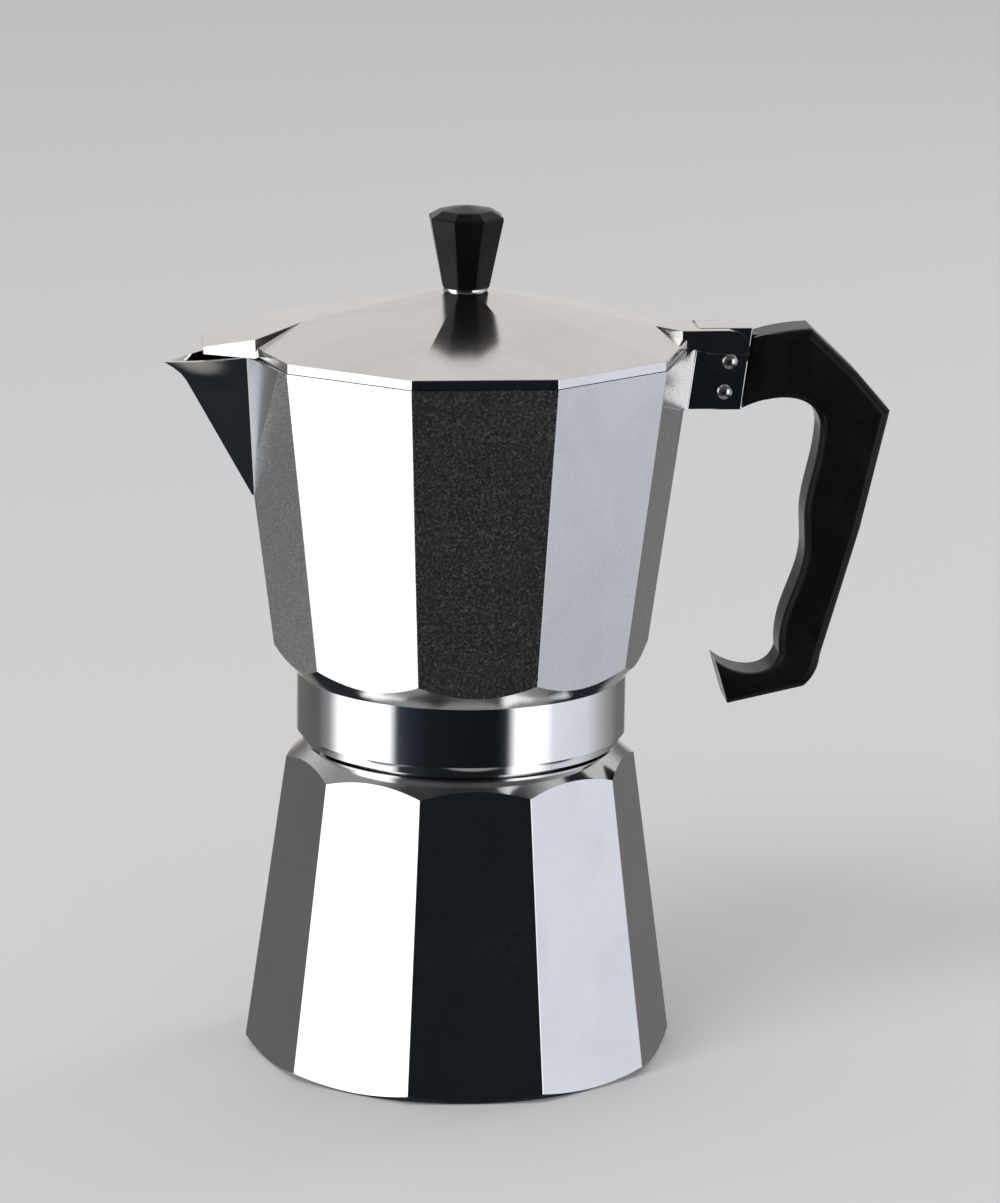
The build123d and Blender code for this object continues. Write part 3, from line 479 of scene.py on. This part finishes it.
def cast_aluminium(name, tint, turned_below, most_lean, polish, speck, size, filed=None):
    """Polish and speck are roughness. A face that leans past the limit is turned."""
    made, tree, bsdf = shader(name)
    set_values(bsdf, Metallic=1.0)
    place = add(tree, "ShaderNodeTexCoord")
    spot = add(tree, "ShaderNodeSeparateXYZ", {0: place.outputs["Object"]})
    lean = add(tree, "ShaderNodeSeparateXYZ", {0: place.outputs["Normal"]}).outputs["Z"]
    sloping = step(tree, calculate(tree, "ABSOLUTE", lean), most_lean, most_lean + 0.05)
    low = step(tree, spot.outputs["Z"], turned_below + 0.2 * MILLIMETRE, turned_below)
    turned = calculate(tree, "MAXIMUM", sloping, low)
    smooth = calculate(tree, "MAXIMUM", turned, filed(tree, spot)) if filed else turned
    cast = calculate(tree, "SUBTRACT", 1.0, smooth)

    sand = use_group(tree, grain, Size=size, Contrast=3.2, Level=0.40)
    smears = use_group(tree, handling, Size=26.0, Strength=1.0)["Smear"]
    rings_cut = use_group(tree, lathe_marks, Pitch=0.22)["Height"]
    dulled = calculate(tree, "MULTIPLY_ADD", smears, 0.03, polish)
    cast_specks = calculate(tree, "MULTIPLY", sand["Specks"], cast)
    roughness = calculate(tree, "MULTIPLY_ADD", cast_specks, speck, dulled)
    tree.links.new(roughness, bsdf.inputs["Roughness"])
    dark = tuple(SMEARED_CAST * share for share in tint)
    tree.links.new(blend(tree, smears, tint, dark), bsdf.inputs["Base Color"])
    grainy = blend(tree, cast, (0.5, 0.5, 0.5), sand["Height"])
    relief(tree, bsdf, blend(tree, turned, grainy, rings_cut), 0.15, 0.02)
    return made


boiler_metal = cast_aluminium("boiler_cast", CAST_TINT, 0.0, FACET_LEAN, 0.09, 0.14, 0.5)
collector_metal = cast_aluminium(
    "collector_cast", CAST_TINT, flare_level, FACET_LEAN, 0.10, 0.34, 0.62, filed_faces,
)
lid_metal = cast_aluminium("lid_cast", LID_TINT, 0.0, ANY_LEAN, 0.11, 0.06, 0.6)
print("castings", boiler_metal.name, collector_metal.name, lid_metal.name)

# %% [markdown]
# The funnel, the filter plates and the cap on the column are pressed from thin sheet. A press leaves a
# satin face with long faint scratches. The valve is turned from brass, the pins from bright steel, and
# the spring is drawn wire: the same recipe makes them all, with a colour, a dullness and a pitch each.

# %% Pressed sheet, brass, wire and rivets
SMEARED_SHEET = 0.82


def scratched_metal(name, colour, roughness, pitch, strength):
    """A duller metal with rings round the pot's axis. Pitch is their width in millimetres."""
    made, tree, bsdf = shader(name)
    set_values(bsdf, Metallic=1.0)
    smears = use_group(tree, handling, Size=12.0, Strength=1.0)["Smear"]
    rings_cut = use_group(tree, lathe_marks, Pitch=pitch)["Height"]
    worn = calculate(tree, "MULTIPLY_ADD", smears, 0.12, roughness)
    tree.links.new(worn, bsdf.inputs["Roughness"])
    dark = tuple(SMEARED_SHEET * share for share in colour)
    tree.links.new(blend(tree, smears, colour, dark), bsdf.inputs["Base Color"])
    relief(tree, bsdf, rings_cut, strength, 0.05)
    return made


sheet_metal = scratched_metal("pressed_sheet", (0.84, 0.84, 0.85), 0.26, 0.35, 0.35)
brass = scratched_metal("turned_brass", (0.80, 0.60, 0.29), 0.22, 0.25, 0.3)
spring_wire = scratched_metal("spring_wire", (0.56, 0.56, 0.57), 0.3, 0.1, 0.2)
rivet_steel = scratched_metal("bright_rivet", (0.80, 0.80, 0.81), 0.16, 0.2, 0.12)
print("metals", [m.name for m in (sheet_metal, brass, spring_wire, rivet_steel)])

# %% [markdown]
# The knob and the grip are black phenolic, moulded hot in a polished steel die. It is glossy, but not a
# mirror: the surface ripples a little, and hands dull it in patches. A clear coat isn't needed, because
# the gloss is the plastic's own.

# %% Black moulded plastic
FRESH_BLACK = (0.005, 0.005, 0.005)
WORN_BLACK = (0.008, 0.008, 0.0075)


def moulded_black():
    """Black phenolic, a little duller where hands have held it."""
    made, tree, bsdf = shader("moulded_black")
    set_values(bsdf, Specular_IOR_Level=0.2)
    smears = use_group(tree, handling, Size=18.0, Strength=1.0)["Smear"]
    fine = use_group(tree, grain, Size=0.9)
    worn = calculate(tree, "MULTIPLY_ADD", smears, 0.06, 0.21)
    tree.links.new(worn, bsdf.inputs["Roughness"])
    tree.links.new(blend(tree, smears, FRESH_BLACK, WORN_BLACK), bsdf.inputs["Base Color"])
    relief(tree, bsdf, fine["Height"], 0.12, 0.05)
    return made


black_plastic = moulded_black()
print("plastic", black_plastic.name)

# %% [markdown]
# The gasket is white silicone rubber with a matt skin, and the washer under the valve is red vulcanised
# fibre, which is pressed paper with a visible felt.

# %% Gasket and washer
def matt_skin(name, light, dark, roughness, size, strength):
    """A matt stuff with a fine felt of two shades. Size is in millimetres."""
    made, tree, bsdf = shader(name)
    set_values(bsdf, Roughness=roughness)
    felt = use_group(tree, grain, Size=size)
    tree.links.new(blend(tree, felt["Specks"], light, dark), bsdf.inputs["Base Color"])
    relief(tree, bsdf, felt["Height"], strength, 0.1)
    return made


gasket_rubber = matt_skin("gasket_rubber", (0.82, 0.80, 0.75), (0.74, 0.72, 0.66), 0.55, 1.2, 0.2)
red_fibre = matt_skin("red_fibre", (0.42, 0.09, 0.05), (0.28, 0.05, 0.03), 0.8, 0.25, 0.6)
print("soft pieces", gasket_rubber.name, red_fibre.name)

# %% [markdown]
# Every edge of a real casting is a little round, and a bright line runs along it. The CAD keeps those
# edges sharp, because a fillet on each would make it fragile, so a bevel rounds them here. It takes only
# the edges that are marked for it. The chords of an arc stay sharp, and so does an edge that meets its
# neighbour at a narrow angle, because a bevel throws a spike there.

# %% Helpers that mark and round edges
NARROW = math.radians(32)
LONG = 4 * MILLIMETRE


def only(piece):
    """Makes a piece the one that is selected and active."""
    bpy.ops.object.select_all(action="DESELECT")
    piece.select_set(True)
    bpy.context.view_layer.objects.active = piece


def apply_modifier(piece, kind, **settings):
    """Adds a modifier with these settings and applies it."""
    modifier = piece.modifiers.new(kind.lower(), kind)
    for name, value in settings.items():
        setattr(modifier, name, value)
    only(piece)
    bpy.ops.object.modifier_apply(modifier=modifier.name)


def mark_edges(piece, sharp):
    """Marks the edges to round. A short one stays sharp, and so does one that meets another narrowly."""
    shape = bmesh.new()
    shape.from_mesh(piece.data)
    weight = shape.edges.layers.float.new("bevel_weight_edge")
    marked = 0
    for edge in shape.edges:
        if len(edge.link_faces) != 2 or edge.calc_face_angle() < sharp or edge.calc_length() < LONG:
            continue
        corners = [loop for end in edge.verts for loop in end.link_loops if loop.face in edge.link_faces]
        if min(loop.calc_angle() for loop in corners) > NARROW:
            edge[weight] = 1.0
            marked += 1
    shape.to_mesh(piece.data)
    shape.free()
    return marked


print("edges under", round(LONG / MILLIMETRE), "mm stay sharp")

# %% [markdown]
# The CAD's own nodes are left alone. The boiler, the collector, the lid and the knob are copied, and the
# copies' loose triangles are merged into whole faces before the bevel. Weighted normals then keep the
# wide facets flat, so that only the narrow bevels bend the light. Each copy rides with its node's body
# and stands in for it.

# %% Soften the castings and the knob
WELD = 0.002 * MILLIMETRE
FLAT = math.radians(0.5)
CASTING_SHARP = 30.0
KNOB_SHARP = 12.0


def softened(node, name, width, sharp=CASTING_SHARP):
    """A copy of a CAD node with its long edges rounded where they are sharper than the given angle."""
    piece = bpy.data.objects.new(name, frame["nodes"][node].data.copy())
    scene.collection.objects.link(piece)
    only(piece)
    bpy.ops.mesh.customdata_custom_splitnormals_clear()
    bpy.ops.object.mode_set(mode="EDIT")
    bpy.ops.mesh.select_all(action="SELECT")
    bpy.ops.mesh.remove_doubles(threshold=WELD)
    bpy.ops.mesh.dissolve_limited(angle_limit=FLAT, delimit={"NORMAL"})
    bpy.ops.object.mode_set(mode="OBJECT")
    marked = mark_edges(piece, math.radians(sharp))
    apply_modifier(
        piece, "BEVEL", width=width, segments=2, limit_method="WEIGHT",
        use_clamp_overlap=False, miter_outer="MITER_SHARP",
    )
    only(piece)
    bpy.ops.object.shade_smooth_by_angle(angle=math.radians(sharp))
    apply_modifier(piece, "WEIGHTED_NORMAL", keep_sharp=True, weight=100)
    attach(piece, frame["nodes"][node]["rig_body"])
    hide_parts(node)
    print(name, len(piece.data.polygons), "faces,", marked, "edges rounded")
    return piece


stand_ins = {
    "boiler": softened("boiler", "boiler_casting", 0.30 * MILLIMETRE),
    "collector": softened("collector", "collector_casting", 0.28 * MILLIMETRE),
    "lid": softened("lid", "lid_casting", 0.28 * MILLIMETRE),
    "knob": softened("knob", "moulded_knob", 0.45 * MILLIMETRE, sharp=KNOB_SHARP),
}

# %% [markdown]
# When the valve lifts, its spring is squeezed: the inner end goes with the poppet and the outer end stays
# against the retainer. A coil of one mesh can't ride on both. Here the spring is only copied, with its
# place baked in, and the copy stands in for the hidden node without riding on either body.

# %% Copy of the valve spring, with its place baked in
coil = bpy.data.objects.new("squeezed_spring", frame["nodes"]["valve_spring"].data.copy())
scene.collection.objects.link(coil)
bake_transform(coil)
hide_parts("valve_spring")
stand_ins["valve_spring"] = coil

# %% [markdown]
# Each CAD node now takes its finish, and so does the copy that stands in for it. The frame's nodes keep
# their shape and place, and only their material slots change.

# %% Give every node its finish
FINISHES = {
    "boiler": boiler_metal, "collector": collector_metal, "lid": lid_metal,
    "funnel_basket": sheet_metal, "funnel_tube": sheet_metal, "funnel_sieve": sheet_metal,
    "filter_plate": sheet_metal, "column_cap": sheet_metal,
    "valve_body": brass, "valve_nut": brass, "valve_poppet": brass, "valve_retainer": brass,
    "knob_insert": brass, "valve_spring": spring_wire,
    "hinge_pin": rivet_steel, "handle_pin": rivet_steel,
    "knob_screw": rivet_steel, "knob_washer": rivet_steel,
    "knob": black_plastic, "handle": black_plastic,
    "gasket": gasket_rubber, "valve_washer": red_fibre,
}
for node, finish in FINISHES.items():
    for piece in (frame["nodes"][node], stand_ins.get(node)):
        if piece:
            piece.data.materials.clear()
            piece.data.materials.append(finish)
print("finished", len(FINISHES), "of", len(frame["nodes"]), "nodes")
